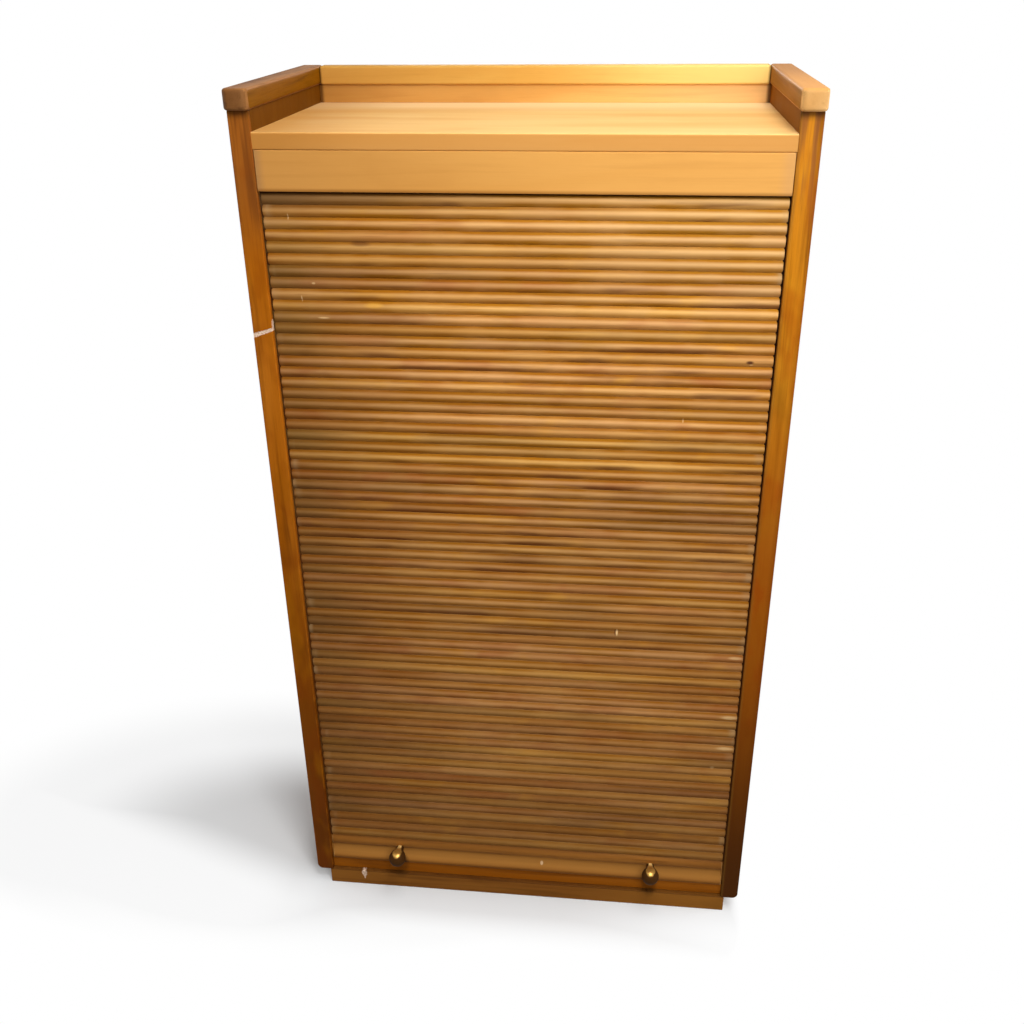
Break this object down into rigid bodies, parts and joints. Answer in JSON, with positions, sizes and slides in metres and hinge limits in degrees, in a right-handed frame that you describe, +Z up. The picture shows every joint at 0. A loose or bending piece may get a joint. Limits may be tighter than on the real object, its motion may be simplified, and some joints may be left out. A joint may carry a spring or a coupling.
{
  "type": "roll front tool cabinet",
  "caption": "Tall narrow wooden tool cabinet with a rising tambour shutter on a moulded lead rail, two round brass knobs, a gallery top and a low base frame.",
  "frame": {"origin": "on the floor, at the middle of the cabinet's whole box, knobs included", "axes": "+Z up, the shutter faces -Y, +X to the right of someone who faces the shutter"},
  "size_m": [0.6446, 0.3426, 1.158],
  "materials": {
    "oak": "varnished golden oak",
    "inner_wood": "plain thin-sawn softwood",
    "slats": "worn wax and varnish",
    "brass": "worn polish",
    "steel": "plain",
    "canvas": "unbleached cloth"
  },
  "bodies": {
    "cabinet": {"left_side": "oak", "right_side": "oak", "left_stile": "oak", "right_stile": "oak", "plinth_front": "oak", "plinth_back": "oak", "left_plinth": "oak", "right_plinth": "oak", "corner_blocks": "inner_wood", "bottom_panel": "oak", "top_panel": "oak", "fascia": "oak", "gallery_back": "oak", "left_cap": "oak", "right_cap": "oak", "rear_cap": "oak", "inner_top": "inner_wood", "false_back": "inner_wood", "shelf_1": "inner_wood", "shelf_2": "inner_wood", "shelf_3": "inner_wood", "shelf_4": "inner_wood", "back_panel": "inner_wood", "back_screws": "steel", "canvas_backing": "canvas", "slats_01": "slats", "slats_02": "slats", "slats_03": "slats", "slats_04": "slats", "slats_05": "slats", "slats_06": "slats", "slats_07": "slats", "slats_08": "slats", "slats_09": "slats", "slats_10": "slats", "slats_11": "slats", "slats_12": "slats", "slats_13": "slats", "slats_14": "slats", "slats_15": "slats", "slats_16": "slats", "slats_17": "slats", "slats_18": "slats", "slats_19": "slats", "slats_20": "slats", "slats_21": "slats", "slats_22": "slats", "slats_23": "slats", "slats_24": "slats", "slats_25": "slats", "slats_26": "slats"},
    "shutter": {"lead_rail": "slats", "left_knob": "brass", "right_knob": "brass", "knob_screws": "steel"}
  },
  "joints": [
    {"name": "shutter_lift", "type": "slide", "parent": "cabinet", "child": "shutter", "axis": [0, 0, 1], "range_m": [0, 0.955], "deforming": ["slats_01", "slats_02", "slats_03", "slats_04", "slats_05", "slats_06", "slats_07", "slats_08", "slats_09", "slats_10", "slats_11", "slats_12", "slats_13", "slats_14", "slats_15", "slats_16", "slats_17", "slats_18", "slats_19", "slats_20", "slats_21", "slats_22", "slats_23", "slats_24", "slats_25", "slats_26", "canvas_backing"]}
  ]
}
